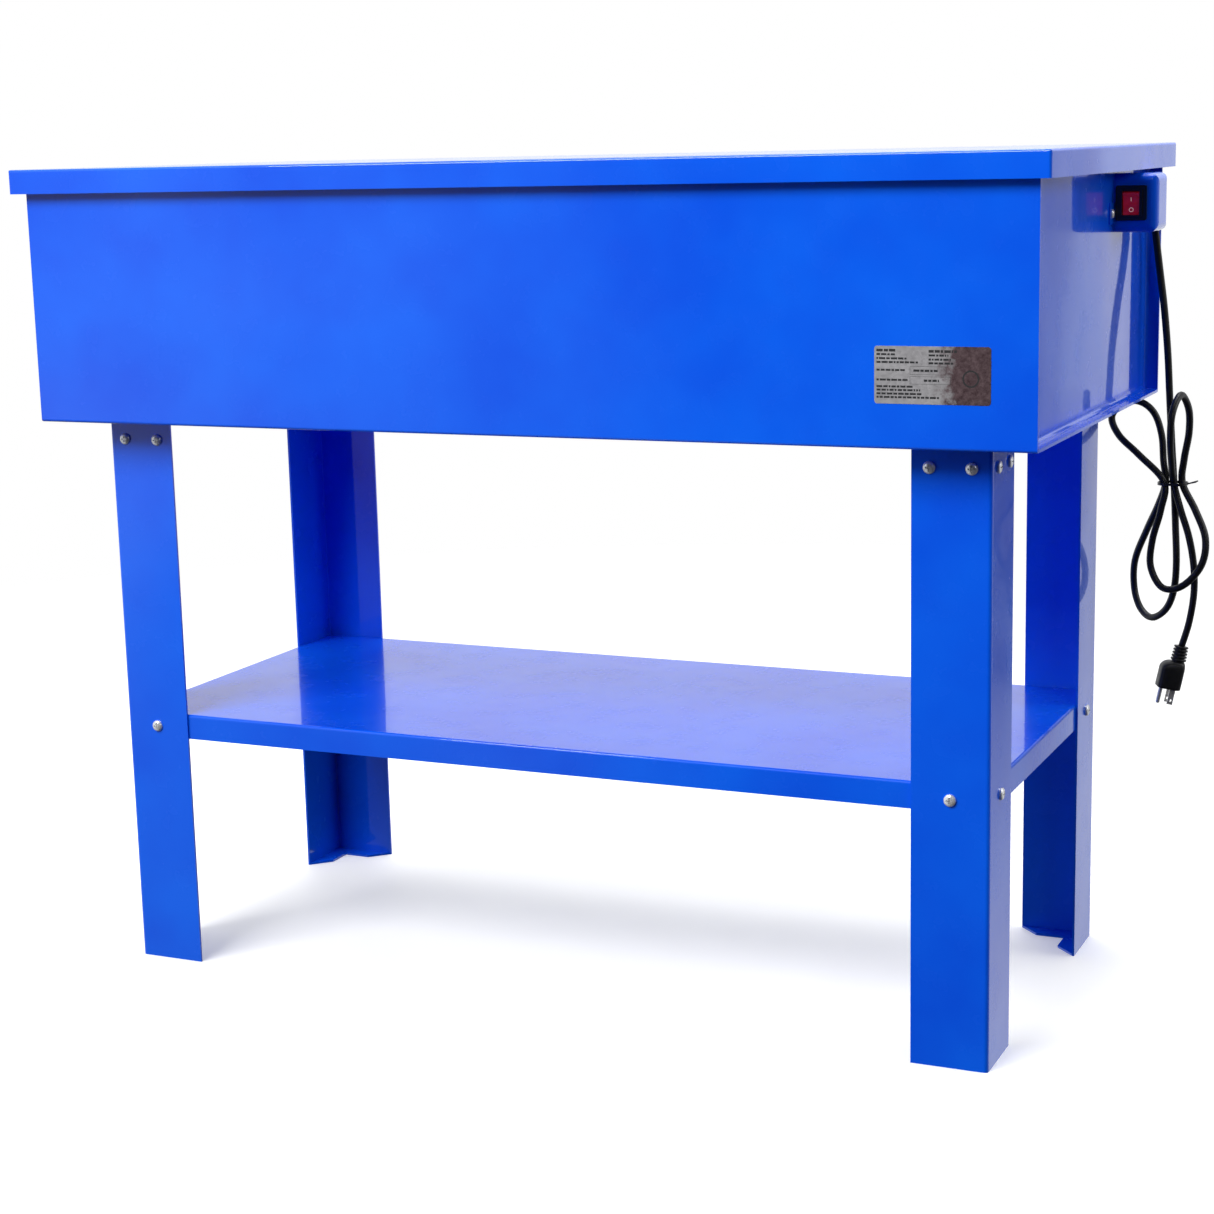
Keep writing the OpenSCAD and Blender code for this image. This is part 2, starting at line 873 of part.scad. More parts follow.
module switch_bezel() {
    color(BLACK) place() {
        face_frame(bezel_w, bezel_h, slot_w, slot_h, box_front, bezel_t, 2);
        face_frame(bezel_w - 8, bezel_h - 8, slot_w, slot_h, box_front - bezel_t, 2, 1.5);
    }
}

rocker_y = box_front + 3;
rocker_pin_d = 3;

module switch_body() {
    color(BLACK) place()
        difference() {
            translate([bezel_x - body_w / 2, box_front, bezel_z - body_h / 2])
                cube([body_w, body_l, body_h]);
            translate([bezel_x - slot_w / 2, box_front - over, bezel_z - slot_h / 2])
                cube([slot_w, over + 10, slot_h]);
            translate([bezel_x, rocker_y, bezel_z])
                rotate([0, 90, 0])
                    cylinder(d = rocker_pin_d + 2 * nut_fit, h = rocker_w + 3, center = true);
        }
}

// Rocker at rest: its lower end pressed in
module switch_rocker() {
    half = rocker_h / 2;
    face = [[-rocker_deep - 1, half], [-rocker_deep, half * 0.75], [-rocker_deep + 1, 0],
        [-rocker_deep, -half * 0.75], [-rocker_deep - 1, -half], [1, -half], [4, -half * 0.4],
        [4, half * 0.4], [1, half]];
    color(RED) place()
        translate([bezel_x, rocker_y, bezel_z])
            rotate([rocker_tilt, 0, 0]) {
                along_x()
                    linear_extrude(rocker_w, center = true)
                        polygon(face);
                rotate([0, 90, 0])
                    cylinder(d = rocker_pin_d, h = rocker_w + 2, center = true);
            }
}

module switch_terminals() {
    color(BRASS) place()
        for (z = [-8, 0, 8])
            translate([bezel_x - 3, box_front + body_l, bezel_z + z - 0.4])
                cube([6, 8, 0.8]);
}

// Ribbed boot of revolution: radius r0 at the start and r1 at the end of its length
module ribbed(r0, r1, l, ribs) {
    rotate_extrude()
        polygon(concat([[0, 0]],
            [for (i = [0:ribs - 1], k = [0, 1, 2, 3])
                let (r = r0 + (r1 - r0) * i / ribs, z = l * (i + [0, 0.55, 0.55, 1][k]) / ribs)
                    [k < 2 ? r : r - 1.2, z]],
            [[0, l]]));
}

module strain_relief() {
    color(BLACK) place()
        translate([gland_x, box_back, gland_z])
            rotate([-90, 0, 0]) {
                translate([0, 0, -8])
                    cylinder(d = gland_d, h = 8);
                translate([0, 0, -sheet_t - 4])
                    cylinder(d = gland_d + 4, h = 4);
                cylinder(d = gland_d + 4, h = 3);
                translate([0, 0, 3])
                    ribbed(gland_d / 2 - 1, cord_d / 2 + 1.6, boot_l - 3, 6);
            }
}

// Smooth tube of n sides through the points p; long stretches get an extra ring
function spline(a, b, c, d, t) =
    0.5 * (2 * b + (c - a) * t + (2 * a - 5 * b + 4 * c - d) * t * t + (3 * b - a - 3 * c + d) * t * t * t);
function at(p, i) = p[max(0, min(len(p) - 1, i))];
function path(p, step) = concat([for (i = [0:len(p) - 2])
    let (n = max(1, round(norm(p[i + 1] - p[i]) / step)))
        for (k = [0:n - 1])
            spline(at(p, i - 1), p[i], p[i + 1], at(p, i + 2), k / n)], [p[len(p) - 1]]);
function flat(v, t) = unit(v - (v * t) * t);
function heading(q, i) = unit(at(q, i + 1) - at(q, i - 1));

module tube(p, d, sides, step) {
    q = path(p, step);
    side0 = flat([0.3, 0.5, 0.8], heading(q, 0));
    sides_of = [for (i = 0, s = side0; i < len(q); i = i + 1, s = i < len(q) ? flat(s, heading(q, i)) : s)
        s];
    points = [for (i = [0:len(q) - 1], k = [0:sides - 1])
        let (a = 360 * k / sides, u = sides_of[i], v = cross(heading(q, i), u))
            q[i] + d / 2 * (cos(a) * u + sin(a) * v)];
    walls = [for (i = [0:len(q) - 2], k = [0:sides - 1])
        let (j = (k + 1) % sides) [i * sides + k, (i + 1) * sides + k, (i + 1) * sides + j, i * sides + j]];
    ends = [[for (k = [0:sides - 1]) k], [for (k = [sides - 1:-1:0]) (len(q) - 1) * sides + k]];
    polyhedron(points, concat(walls, ends));
}

module power_cord() {
    color(BLACK) place()
        tube(concat([[gland_x, cord_exit_y, gland_z]], [for (c = CORD) CORD_AT + c]), cord_d, 8, 25);
}

// Twist tie round the five strands, with its two twisted ends
module cord_tie() {
    color(BLACK) place()
        translate(CORD_AT + TIE) {
            linear_extrude(3, center = true)
                difference() {
                    round_rect(33, 25, 10);
                    round_rect(30.6, 22.6, 9);
                }
            for (a = [-25, 20])
                translate([16, 0, 0])
                    rotate([0, 75, a])
                        cylinder(d = 1.6, h = 12);
        }
}

// Plug, in its own frame: the cord enters at z = 0, off the body's middle, and the blades point down
plug_w = 27;
plug_deep = 22;
plug_body_l = 32;
plug_boot_l = 18;
blade_l = 17;
blade_gap = 12.7;
plug_off = 4.5;
blade_x = 4.4 - plug_off;
ground_x = -7.5 - plug_off;

module at_plug() {
    translate(CORD_AT + CORD[len(CORD) - 1])
        rotate([0, PLUG_TILT, PLUG_TURN])
            children();
}

module plug_body() {
    near = plug_w / 2 - plug_off;
    far = -plug_w / 2 - plug_off;
    outline = [[far, -plug_boot_l - plug_body_l], [near, -plug_boot_l - plug_body_l],
        [near - 1, -plug_boot_l - 8], [cord_d / 2 + 3, -plug_boot_l], [-cord_d / 2 - 3, -plug_boot_l],
        [far + 5, -plug_boot_l - 3], [far + 1, -plug_boot_l - 8]];
    color(BLACK) place()
        at_plug() {
            mirror([0, 0, 1])
                ribbed(cord_d / 2 + 2, cord_d / 2 + 4, plug_boot_l, 5);
            intersection() {
                along_y()
                    linear_extrude(plug_deep, center = true)
                        polygon(outline);
                translate([-plug_off, 0, -plug_boot_l - plug_body_l])
                    linear_extrude(plug_body_l + plug_boot_l)
                        round_rect(plug_w, plug_deep, 6);
            }
        }
}

module plug_blades() {
    color(STEEL) place()
        at_plug()
            for (s = [-1, 1])
                difference() {
                    translate([blade_x - 3.2, s * blade_gap / 2 - 0.75, -plug_boot_l - plug_body_l - blade_l])
                        cube([6.4, 1.5, blade_l]);
                    translate([blade_x, s * blade_gap / 2, -plug_boot_l - plug_body_l - blade_l + 4.5])
                        rotate([90, 0, 0])
                            cylinder(d = 3.2, h = 4, center = true);
                }
}

module plug_ground_pin() {
    color(STEEL) place()
        at_plug()
            translate([ground_x, 0, -plug_boot_l - plug_body_l - blade_l - 2]) {
                translate([0, 0, 2.4])
                    cylinder(d = 4.8, h = blade_l - 0.4);
                translate([0, 0, 2.4])
                    sphere(d = 4.8);
            }
}

// Pump
pump_x = 445;
pump_y = 105;
pump_d = 74;
feet_h = 8;
pump_z = bed_z + feet_h;
base_h = 58;
outlet_z = pump_z + 28;
outlet_y = pump_y + pump_d / 2;
hose_d = 16;
grille_t = 3;

module pump_body() {
    color(BLACK) place()
        translate([pump_x, pump_y, pump_z]) {
            linear_extrude(base_h)
                round_rect(pump_w, pump_d, 12);
            translate([0, 0, base_h])
                rotate_extrude()
                    polygon([[0, 0], [pump_d / 2 - 4, 0], [pump_d / 2 - 7, pump_h - base_h - 8],
                        [pump_d / 2 - 14, pump_h - base_h], [0, pump_h - base_h]]);
        }
}

module pump_inlet_grille() {
    color(BLACK) place()
        translate([pump_x, pump_y - pump_d / 2, pump_z + 26])
            rotate([90, 0, 0])
                difference() {
                    linear_extrude(grille_t)
                        round_rect(pump_w - 28, 40, 5);
                    for (i = [-3:3])
                        translate([i * 7 - 1.5, -15, -over])
                            cube([3, 30, grille_t + 2 * over]);
                }
}

module pump_feet() {
    color(BLACK) place()
        for (sx = [-1, 1], sy = [-1, 1])
            translate([pump_x + sx * (pump_w / 2 - 15), pump_y + sy * (pump_d / 2 - 13), bed_z])
                rotate_extrude()
                    polygon([[0, 0], [11, 0], [5, 5], [4, feet_h], [0, feet_h]]);
}

module pump_outlet() {
    color(BLACK) place()
        translate([pump_x, outlet_y, outlet_z])
            rotate([-90, 0, 0]) {
                cylinder(d = hose_d + 8, h = 5);
                translate([0, 0, 5])
                    cylinder(d = hose_d - 3, h = 9);
            }
}

// Spout: bracket, fixed fitting, swivelling neck and nozzle
spout_x = 440;
spout_y = back_y - 35;
shelf_z = floor_z + 171;
base_d = 20;
base_z = shelf_z - 30;
swivel_z = shelf_z + 12;
neck_z = floor_z + 233;
neck_bend = 28;
tip_bend = 24;
nozzle_l = 22;

HOSE = [[0, 14, 0], [0, 40, 3], [-1, 66, 14], [-3, 85, 38], [-4, 91, 66]];
HOSE_AT = [pump_x, outlet_y, outlet_z];

module pump_hose() {
    color(BLACK) place()
        tube(concat([for (h = HOSE) HOSE_AT + h],
            [[spout_x, spout_y, base_z - 12], [spout_x, spout_y, base_z]]),
            hose_d, 12, 20);
}

module spout_bracket() {
    color(BLUE) place()
        difference() {
            union() {
                translate([spout_x - 26, back_y - sheet_t - 2, shelf_z - 40])
                    cube([52, 2, 42]);
                translate([spout_x - 26, spout_y - 18, shelf_z])
                    cube([52, back_y - sheet_t - spout_y + 18, 2]);
            }
            translate([spout_x, spout_y, shelf_z - over])
                cylinder(d = base_d + 2 * screw_gap, h = 2 + 2 * over);
        }
}

module spout_base() {
    color(BRASS) place()
        translate([spout_x, spout_y, 0]) {
            translate([0, 0, base_z])
                cylinder(d = base_d, h = swivel_z - base_z);
            translate([0, 0, shelf_z - 6])
                cylinder(d = 30, h = 6, $fn = 6);
            translate([0, 0, swivel_z])
                cylinder(d = neck_d - 5, h = 10);
        }
}

// Quarter bend in the XZ plane, from +Z at the origin round to -X
module quarter(r, d) {
    translate([-r, 0, 0])
        rotate([90, 0, 0])
            rotate_extrude(angle = 90)
                translate([r, 0])
                    circle(d = d);
}

module spout_neck() {
    low = neck_z - neck_bend;
    color(STEEL) place()
        translate([spout_x, spout_y, 0])
            difference() {
                union() {
                    translate([0, 0, swivel_z + run])
                        cylinder(d = neck_d + 6, h = 12);
                    translate([0, 0, swivel_z + run])
                        cylinder(d = neck_d, h = low - swivel_z - run);
                    translate([0, 0, low])
                        quarter(neck_bend, neck_d);
                    translate([-neck_bend, 0, neck_z])
                        rotate([0, -90, 0])
                            cylinder(d = neck_d, h = spout_reach - neck_bend - tip_bend);
                    translate([-spout_reach, 0, neck_z - tip_bend])
                        mirror([1, 0, 0])
                            quarter(tip_bend, neck_d);
                }
                translate([0, 0, swivel_z - over])
                    cylinder(d = neck_d - 5 + 2 * nut_fit, h = 11 + over);
            }
}

module spout_nozzle() {
    color(BRASS) place()
        translate([spout_x - spout_reach, spout_y, neck_z - tip_bend])
            mirror([0, 0, 1])
                difference() {
                    rotate_extrude()
                        polygon([[0, 0], [neck_d / 2 + 2, 0], [neck_d / 2 + 2, 9], [neck_d / 2 - 1, nozzle_l],
                            [0, nozzle_l]]);
                    translate([0, 0, nozzle_l - 8])
                        cylinder(d = neck_d - 6, h = 9);
                }
}

// Pump lead from the pump's top to the grommet in the end panel, behind the switch box
grommet_d = 14;
lead_d = 7;
lead_y = box_front + 14;
lead_z = box_mid_z;
grommet_in = 5;

LEAD = [[0, 0, 0], [0, 0, 30], [6, 1, 62], [22, 3, 92], [46, 5, 112]];
LEAD_AT = [pump_x, pump_y, pump_z + pump_h];

module pump_lead() {
    color(BLACK) place()
        tube(concat([for (c = LEAD) LEAD_AT + c],
            [[in_x - grommet_in - 12, lead_y, lead_z], [in_x - grommet_in, lead_y, lead_z]]), lead_d, 8, 20);
}

module lead_grommet() {
    color(BLACK) place()
        translate([in_x, lead_y, lead_z])
            rotate([0, 90, 0]) {
                translate([0, 0, -grommet_in])
                    cylinder(d = grommet_d + 5, h = grommet_in);
                cylinder(d = grommet_d, h = sheet_t);
                translate([0, 0, sheet_t])
                    cylinder(d = grommet_d + 5, h = 2);
            }
}

// Lift-out work shelf on two rails
work_gap = 2;
work_lip = 20;
work_w = tank_w - 2 * sheet_t - 2 * work_gap;
work_x = -in_x + 4 + work_l / 2;
work_z = floor_z + work_h;
work_rest = 0.3;
hole_d = 14;
hole_nx = 12;
hole_ny = 9;
rail_w = 16;

module work_shelf() {
    color(BLUE) place()
        translate([work_x, 0, work_z])
            difference() {
                pan(work_l, work_w, work_lip, sheet_t, fold_r);
                for (i = [0:hole_nx - 1], j = [0:hole_ny - 1])
                    translate([work_l * ((i + 0.5) / hole_nx - 0.5), work_w * ((j + 0.5) / hole_ny - 0.5),
                        -sheet_t - over])
                        cylinder(d = hole_d, h = sheet_t + 2 * over);
            }
}

module work_shelf_rails() {
    top = work_z - work_lip - work_rest;
    color(BLUE) place()
        for (s = [-1, 1])
            mirror([0, s > 0 ? 1 : 0, 0])
                translate([work_x, front_y + sheet_t, top])
                    along_x()
                        linear_extrude(work_l, center = true)
                            polygon([[0, 0], [rail_w, 0], [rail_w, -sheet_t], [sheet_t, -sheet_t],
                                [sheet_t, -rail_w], [0, -rail_w]]);
}

// Parts basket with a folding bail handle
basket_x = 210;
basket_z = bed_z + 0.3;
bail_d = 5;
bail_z = basket_z + basket_h - 9;
bail_gap = 2.5;
bail_y = basket_w / 2 + bail_gap + bail_d / 2;
bail_l = basket_l / 2 + bail_gap + bail_d / 2;
slot_n = 9;

module parts_basket() {
    color(STEEL) place()
        translate([basket_x, 0, basket_z])
            difference() {
                linear_extrude(basket_h)
                    round_rect(basket_l, basket_w, 12);
                translate([0, 0, sheet_t])
                    linear_extrude(basket_h)
                        round_rect(basket_l - 2 * sheet_t, basket_w - 2 * sheet_t, 12 - sheet_t);
                for (i = [0:slot_n - 1]) {
                    translate([basket_l * ((i + 1) / (slot_n + 1) - 0.5) - 3, -basket_w / 2 - over, 14])
                        cube([6, basket_w + 2 * over, basket_h - 40]);
                    translate([-basket_l / 2 - over, basket_w * ((i + 1) / (slot_n + 1) - 0.5) - 4, 14])
                        cube([basket_l + 2 * over, 8, basket_h - 40]);
                    translate([-basket_l / 2 + 22, basket_w * ((i + 1) / (slot_n + 1) - 0.5) - 3, -over])
                        cube([basket_l - 44, 6, sheet_t + 2 * over]);
                }
                translate([0, 0, bail_z - basket_z])
                    rotate([90, 0, 0])
                        cylinder(d = bail_d + 2 * nut_fit, h = basket_w + 2 * over, center = true);
            }
}

// The bail lies round the right half of the basket when it is folded
module basket_handle() {
    color(STEEL) place()
        translate([basket_x, 0, bail_z]) {
            for (s = [-1, 1]) {
                translate([0, s * (bail_y + bail_d / 2), 0])
                    rotate([s * 90, 0, 0])
                        cylinder(d = bail_d, h = bail_gap + bail_d + sheet_t + 2);
                translate([0, s * bail_y, 0])
                    rotate([0, 90, 0])
                        cylinder(d = bail_d, h = bail_l);
                translate([bail_l, s * bail_y, 0])
                    sphere(d = bail_d);
            }
            translate([bail_l, 0, 0])
                rotate([90, 0, 0])
                    cylinder(d = bail_d, h = 2 * bail_y, center = true);
        }
}

// Drain: flanged fitting through the tank's floor, its nut, and the plug screwed up into it
drain_x = -230;
drain_y = 40;
drain_wall = 5;
drain_body = drain_d + 2 * drain_wall;
drain_l = 16;
drain_nut_t = 8;
plug_in = 14;

module drain_fitting() {
    color(BRASS) place()
        translate([drain_x, drain_y, 0])
            difference() {
                union() {
                    translate([0, 0, bed_z])
                        cylinder(d = drain_body + 14, h = 2);
                    translate([0, 0, floor_z - drain_l])
                        cylinder(d = drain_body, h = drain_l + sheet_t + eps);
                }
                translate([0, 0, floor_z - drain_l - over])
                    cylinder(d = drain_d, h = drain_l + 2 * over + 4);
            }
}

module drain_nut() {
    color(BRASS) place()
        translate([drain_x, drain_y, floor_z - drain_nut_t])
            hex_nut(drain_body + 2 * nut_fit, drain_body + 9, drain_nut_t);
}

module drain_plug() {
    color(BRASS) place()
        translate([drain_x, drain_y, floor_z - drain_l - run]) {
            cylinder(d = drain_d - 2 * nut_fit, h = plug_in);
            mirror([0, 0, 1])
                cylinder(d = (drain_d + 7) / cos(30), h = 9, $fn = 6);
        }
}

label_t = 0.3;
label_right = 44;
label_low = 43;

module rating_label() {
    color(ZINC) place()
        translate([tank_l / 2 - label_right - label_w / 2, front_y, floor_z + label_low + label_h / 2])
            rotate([90, 0, 0])
                linear_extrude(label_t)
                    round_rect(label_w, label_h, 3);
}

tank_wrapper();
end_panel_left();
end_panel_right();
leg(-1, -1);  // leg_front_left
leg(1, -1);  // leg_front_right
leg(-1, 1);  // leg_rear_left
leg(1, 1);  // leg_rear_right
leg_brackets();
lower_shelf();
leg_screws();
leg_nuts();
shelf_screws();
shelf_nuts();
lid();
lid_bumpers();
hinge_left_tank_leaf();
hinge_left_lid_leaf();
hinge_left_pin();
hinge_right_tank_leaf();
hinge_right_lid_leaf();
hinge_right_pin();
hinge_tank_rivets();
hinge_lid_rivets();
stay_bracket();
stay_pivot_pin();
fusible_link();
link_rivets();
stay_arm();
stay_guide_stud();
switch_box();
box_screws();
switch_bezel();
switch_rocker();
switch_body();
switch_terminals();
strain_relief();
power_cord();
cord_tie();
plug_body();
plug_blades();
plug_ground_pin();
pump_body();
pump_inlet_grille();
pump_feet();
pump_outlet();
pump_hose();
pump_lead();
lead_grommet();
spout_bracket();
spout_base();
spout_neck();
spout_nozzle();
work_shelf();
work_shelf_rails();
parts_basket();
basket_handle();
drain_fitting();
drain_nut();
drain_plug();
rating_label();
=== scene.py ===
"""Parts washer: finishes, cord, plug, switch marks, rating label and studio."""

import math

import bpy
import numpy as np
from bpy.props import FloatProperty, FloatVectorProperty, IntProperty, PointerProperty
from bpy.types import Operator, Panel, PropertyGroup
from mathutils import Euler, Matrix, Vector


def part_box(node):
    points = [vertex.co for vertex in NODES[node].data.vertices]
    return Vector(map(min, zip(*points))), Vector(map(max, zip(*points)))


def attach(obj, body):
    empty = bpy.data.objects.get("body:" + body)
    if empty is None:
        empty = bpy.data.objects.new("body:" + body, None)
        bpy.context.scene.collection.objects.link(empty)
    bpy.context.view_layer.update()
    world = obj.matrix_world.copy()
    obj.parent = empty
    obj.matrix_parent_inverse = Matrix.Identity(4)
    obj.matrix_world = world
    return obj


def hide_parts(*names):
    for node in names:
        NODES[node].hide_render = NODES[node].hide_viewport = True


bl_info = {
    "name": "Parts Washer Finisher",
    "version": (1, 0, 0),
    "blender": (4, 5, 0),
    "location": "View3D > Sidebar > Washer",
    "description": "Finishes a parts washer tank: paint, plating, cord, plug, switch marks, label and studio",
    "category": "Object",
}

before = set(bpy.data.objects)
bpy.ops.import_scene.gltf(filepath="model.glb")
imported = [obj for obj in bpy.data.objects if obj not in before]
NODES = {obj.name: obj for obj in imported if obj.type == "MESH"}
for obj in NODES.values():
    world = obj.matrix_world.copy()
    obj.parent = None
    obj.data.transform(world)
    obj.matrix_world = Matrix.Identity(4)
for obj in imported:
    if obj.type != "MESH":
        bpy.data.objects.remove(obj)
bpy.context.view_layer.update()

PAINTED = ["tank_wrapper", "end_panel_left", "end_panel_right", "leg_front_left", "leg_front_right",
           "leg_rear_left", "leg_rear_right", "leg_brackets", "lower_shelf", "lid", "stay_bracket",
           "switch_box", "spout_bracket", "work_shelf", "work_shelf_rails"]
PLATED = ["leg_screws", "leg_nuts", "shelf_screws", "shelf_nuts", "hinge_left_tank_leaf",
          "hinge_left_lid_leaf", "hinge_left_pin", "hinge_right_tank_leaf", "hinge_right_lid_leaf",
          "hinge_right_pin", "hinge_tank_rivets", "hinge_lid_rivets", "stay_pivot_pin", "link_rivets",
          "stay_arm", "stay_guide_stud", "box_screws"]
SOFT_RUBBER = ["lid_bumpers", "strain_relief", "pump_feet", "pump_hose", "lead_grommet"]
BLACK_MOULDINGS = ["switch_bezel", "switch_body", "cord_tie", "pump_body", "pump_inlet_grille", "pump_outlet"]
BRASS_PARTS = ["fusible_link", "switch_terminals", "spout_base", "spout_nozzle", "drain_fitting",
               "drain_nut", "drain_plug"]
STAINLESS_PARTS = ["spout_neck", "parts_basket", "basket_handle"]
PRONGS = ["plug_blades", "plug_ground_pin"]

# The tank's rear right bottom corner, and the cord's route from it, in millimetres, as part.scad has them
CORNER = np.array([560.0 - 8.5, 273.0 - 1.7, 629.0])
EXIT = np.array([563.0 - 8.5, 183.0 - 1.7, 847.8])
ROUTE = np.array([
    [2, -70, 216], [1, -48, 203], [0, -32, 178], [4, -26, 140], [10, -25, 95], [15, -25, 45],
    [18, -24, -5], [21, -22, -55], [24, -20, -99], [27, -22, -145], [30, -27, -190],
    [27, -24, -222], [17, -16, -245], [-1, -2, -258], [-17, 11, -250], [-26, 19, -228],
    [-25, 16, -195], [-10, 4, -158], [6, -12, -125], [15, -22, -99], [11, -16, -75], [8, -13, -48],
    [0, -13, -24], [-14, -14, -11], [-32, -16, -10], [-47, -19, -26], [-38, -23, -47],
    [-14, -28, -68], [15, -31, -97], [13, -35, -128], [5, -38, -162], [4, -40, -192],
    [18, -42, -215], [40, -42, -212], [60, -40, -188], [63, -36, -158], [50, -29, -128],
    [34, -23, -99], [35, -22, -72], [40, -24, -42], [41, -34, -15], [36, -54, 3], [31, -74, -14],
    [29, -73, -42], [27, -53, -72], [26, -31, -99], [34, -30, -128], [44, -31, -158],
    [50, -31, -190], [51, -31, -222], [46, -29, -256], [38, -27, -284]], float)
PLUG_TILT = math.radians(12)
PLUG_TURN = math.radians(24)


# ---------------------------------------------------------------- sizes and colours a user would change

class WasherCord(PropertyGroup):
    diameter: FloatProperty(name="Cord diameter", description="Outer diameter of the jacket",
                            default=0.008, min=0.005, max=0.012, unit="LENGTH")
    length: FloatProperty(name="Cord length", description="Length along the middle of the cord",
                          default=1.67, min=0.5, max=5.0, unit="LENGTH")
    plug_width: FloatProperty(name="Plug width", description="Width of the plug's body",
                              default=0.027, min=0.02, max=0.035, unit="LENGTH")
    plug_depth: FloatProperty(name="Plug depth", description="Depth of the plug's body",
                              default=0.022, min=0.015, max=0.03, unit="LENGTH")


class WasherFinish(PropertyGroup):
    paint: FloatVectorProperty(name="Paint", description="Colour of the powder coat", subtype="COLOR",
                               size=3, min=0, max=1, default=(0.003, 0.132, 0.92))
    # Paint and this darker colour are mixed in cloudy patches: partly a coat of varying depth, partly painted
    # reflection and painted shade copying soft reflections on the panels.
    paint_thin_coat_and_painted_shade: FloatVectorProperty(name="Paint, thin film", description="Colour where the coat is thinner",
                                     subtype="COLOR", size=3, min=0, max=1, default=(0.002, 0.084, 0.80))
    peel: FloatProperty(name="Orange peel", description="Size of the ripples in the powder coat",
                        default=0.004, min=0.001, max=0.02, unit="LENGTH")
    zinc: FloatVectorProperty(name="Zinc", description="Colour of the plating", subtype="COLOR",
                              size=3, min=0, max=1, default=(0.88, 0.89, 0.91))
    black: FloatVectorProperty(name="Black", description="Colour of the black plastics and rubbers",
                               subtype="COLOR", size=3, min=0, max=1, default=(0.008, 0.008, 0.009))
    red: FloatVectorProperty(name="Rocker red", description="Colour of the rocker", subtype="COLOR",
                             size=3, min=0, max=1, default=(0.62, 0.010, 0.016))


class WasherPrint(PropertyGroup):
    line: FloatProperty(name="Line height", description="Height of a printed line on the label",
                        default=0.0019, min=0.0008, max=0.003, unit="LENGTH")
    seed: IntProperty(name="Word pattern", description="Which pattern of word lengths is printed",
                      default=4, min=0, max=99)
    mark: FloatProperty(name="Switch mark", description="Height of the marks on the rocker",
                        default=0.0042, min=0.002, max=0.006, unit="LENGTH")


class WasherStudio(PropertyGroup):
    lens: FloatProperty(name="Lens", description="Focal length in millimetres", default=70.0, min=20, max=200)
    key: FloatProperty(name="Key light", description="Power of the softbox in front", default=178.0,
                       min=0, subtype="POWER")
    top: FloatProperty(name="Top light", description="Power of the softbox overhead", default=60.0,
                       min=0, subtype="POWER")
    side: FloatProperty(name="Side light", description="Power of the softbox on the right", default=26.0,
                        min=0, subtype="POWER")
    fill: FloatProperty(name="Fill light", description="Power of the small softbox at the front right",
                        default=8.0, min=0, subtype="POWER")
    lift: FloatProperty(name="Floor lift", description="Light given out by the floor itself", default=0.28,
                        min=0, max=1)


# ---------------------------------------------------------------- meshes

def grid_faces(rows, columns):
    """Quads between neighbouring points of a rows by columns grid, each row closed on itself."""
    r, c = (a.ravel() for a in np.meshgrid(np.arange(rows - 1), np.arange(columns), indexing="ij"))
    here, beside = r * columns + c, r * columns + (c + 1) % columns
    return np.stack([here, beside, beside + columns, here + columns], 1)


def mesh_object(name, points, faces, smooth=True):
    """A mesh of those points and faces, linked to the scene, its object at the origin."""
    mesh = bpy.data.meshes.new(name)
    mesh.from_pydata(np.asarray(points, float).reshape(-1, 3).tolist(), [], [tuple(f) for f in faces])
    mesh.update()
    mesh.polygons.foreach_set("use_smooth", np.full(len(mesh.polygons), smooth))
    made = bpy.data.objects.new(name, mesh)
    bpy.context.scene.collection.objects.link(made)
    return made


def lofted(name, rings):
    """Skin over rings of equal point count, one ring per row, closed by a face at each end."""
    rows, columns = rings.shape[:2]
    faces = [list(f) for f in grid_faces(rows, columns)]
    faces.append(list(range(columns))[::-1])
    faces.append(list(range((rows - 1) * columns, rows * columns)))
    return mesh_object(name, rings, faces)


def finish_piece(piece, body, slot, material, *replaced):
    """Gives a new piece its material, its body and the CAD nodes that it stands for, which are hidden; slot
    is not used.
    """
    piece.data.materials.clear()
    piece.data.materials.append(material)
    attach(piece, body)
    if replaced:
        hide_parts(*replaced)


# ---------------------------------------------------------------- materials

class Tree:
    """A node tree, emptied, with short ways to add the nodes used here."""

    def __init__(self, tree):
        self.tree = tree
        tree.nodes.clear()

    def new(self, kind):
        return self.tree.nodes.new("ShaderNode" + kind)

    def link(self, a, b):
        self.tree.links.new(a, b)

    def spread(self, value, low, high, start=0.3, stop=0.7):
        """Maps start..stop of a value on to low..high."""
        node = self.new("MapRange")
        for socket, number in zip(("From Min", "From Max", "To Min", "To Max"), (start, stop, low, high)):
            node.inputs[socket].default_value = number
        self.link(value, node.inputs["Value"])
        return node.outputs[0]

    def maths(self, kind, a, b):
        node = self.new("Math")
        node.operation = kind
        for socket, value in zip(node.inputs, (a, b)):
            if isinstance(value, bpy.types.NodeSocket):
                self.link(value, socket)
            else:
                socket.default_value = value
        return node.outputs[0]


